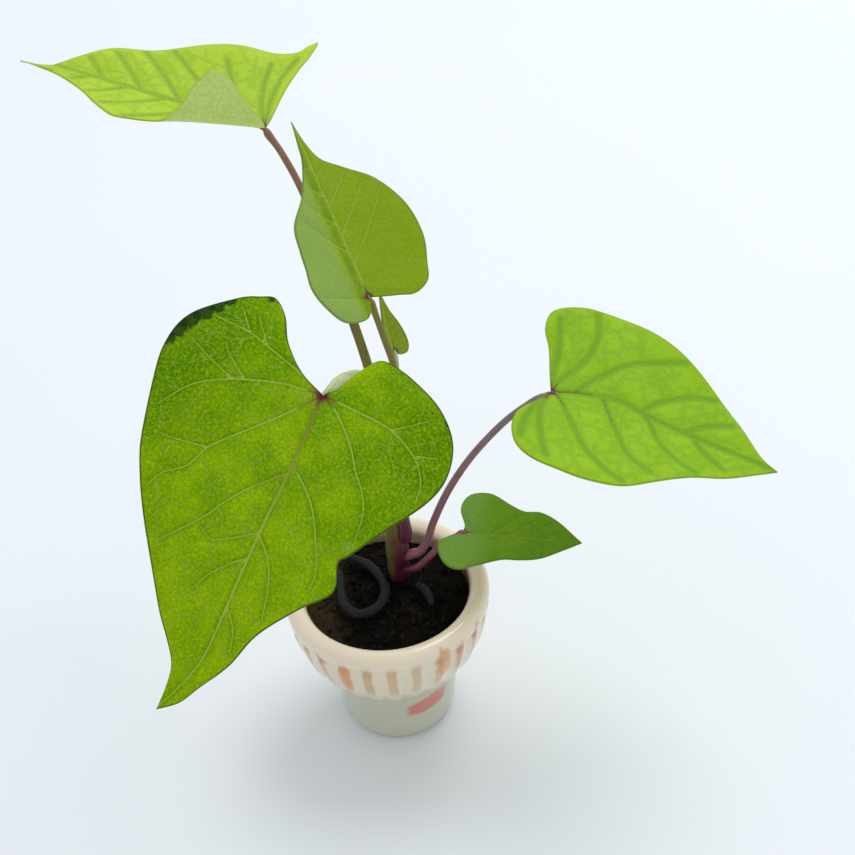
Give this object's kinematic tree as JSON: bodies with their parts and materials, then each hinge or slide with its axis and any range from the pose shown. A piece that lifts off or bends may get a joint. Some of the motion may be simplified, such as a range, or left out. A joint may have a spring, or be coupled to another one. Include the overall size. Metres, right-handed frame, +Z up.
{
  "type": "sweet potato vine in a small pot",
  "caption": "Young sweet potato vine with heart-shaped leaves on long purple stalks, growing in a small ribbed and painted pot.",
  "frame": {"origin": "centre of the flat underside of the pot", "axes": "+Z up along the pot's axis; the largest leaf hangs towards -Y and the long-stalked side leaf reaches towards +X"},
  "size_m": [0.1589, 0.143, 0.16],
  "materials": {
    "glazed_pot": "glossy cream glaze with hand-painted orange-brown ribs and red brush strokes",
    "potting_soil": "damp, crumbly, nearly black",
    "root": "dull dark grey bark",
    "vine_purple": "smooth skin, magenta-purple at the foot and olive-brown above",
    "petiole_green": "smooth pale green skin with a soft highlight",
    "leaf_mature": "bright green blade with pale fine veins and a thin dark margin, satin",
    "leaf_young": "yellow-green blade with dark green veins, satin"
  },
  "bodies": {
    "root": {"pot": "glazed_pot", "soil": "potting_soil", "vine_stem": "vine_purple", "root_loop": "root", "root_stub": "root", "petiole_front": "petiole_green", "petiole_right": "vine_purple", "petiole_small": "vine_purple", "petiole_middle": "vine_purple", "petiole_top": "vine_purple", "petiole_young": "petiole_green", "blade_front": "leaf_mature", "blade_right": "leaf_young", "blade_middle": "leaf_young", "blade_top": "leaf_young", "blade_small": "leaf_mature", "blade_young": "leaf_young"}
  },
  "joints": []
}
